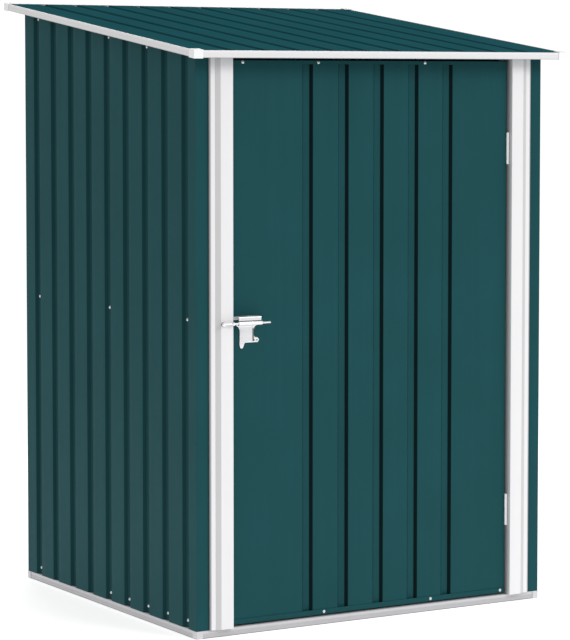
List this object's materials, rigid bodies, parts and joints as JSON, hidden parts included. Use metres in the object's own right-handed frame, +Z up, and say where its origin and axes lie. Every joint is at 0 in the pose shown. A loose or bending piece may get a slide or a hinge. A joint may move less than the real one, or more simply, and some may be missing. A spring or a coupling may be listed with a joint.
{
  "type": "metal tool shed",
  "caption": "Small lean-to metal tool shed with ribbed sheet walls and roof, pale trim and jambs, and a hinged door with a slide bolt.",
  "frame": {"origin": "on the ground under the middle of the roof", "axes": "+Z up, -Y out of the door, +X to the right of someone facing the door from outside"},
  "size_m": [1.1226, 1.0854, 1.6],
  "materials": {
    "green_sheet": "dark green coil-coated steel, satin",
    "white_metal": "white coil-coated steel, satin",
    "grey_metal": "pale grey coil-coated steel, satin",
    "white_plastic": "moulded white plastic, matt",
    "zinc": "galvanised steel, dull",
    "white_fitting": "white powder-coated fittings"
  },
  "bodies": {
    "shed": {"base_rail_front": "grey_metal", "base_rail_back": "grey_metal", "base_rail_left": "grey_metal", "base_rail_right": "grey_metal", "base_corner_caps": "white_plastic", "left_wall": "green_sheet", "right_wall": "green_sheet", "back_wall": "green_sheet", "front_strip_left": "green_sheet", "front_strip_right": "green_sheet", "back_corner_angles": "zinc", "jamb_left": "white_metal", "jamb_right": "white_metal", "door_header": "green_sheet", "top_rail_left": "green_sheet", "top_rail_right": "green_sheet", "top_rail_back": "green_sheet", "mid_rail_left": "zinc", "mid_rail_right": "zinc", "mid_rail_back": "zinc", "roof_beam": "zinc", "roof_sheet": "green_sheet", "roof_trim_front": "white_metal", "roof_trim_back": "white_metal", "roof_trim_left": "white_metal", "roof_trim_right": "white_metal", "roof_corner_caps": "white_plastic", "hinge_frame_leaves": "white_fitting"},
    "door": {"door_sheet": "green_sheet", "door_top_channel": "green_sheet", "door_bottom_channel": "green_sheet", "door_stile_left": "zinc", "door_stile_right": "zinc", "door_brace": "zinc", "hinge_door_leaves": "white_fitting", "latch_plate": "white_fitting"},
    "bolt": {"slide_bolt": "white_fitting"}
  },
  "joints": [
    {"name": "door_hinge", "type": "hinge", "parent": "shed", "child": "door", "pos_m": [0.419, -0.47494, 0.72], "axis": [0, 0, 1], "range_deg": [0, 92]},
    {"name": "bolt_slide", "type": "slide", "parent": "door", "child": "bolt", "axis": [1, 0, 0], "range_m": [0, 0.01]}
  ]
}
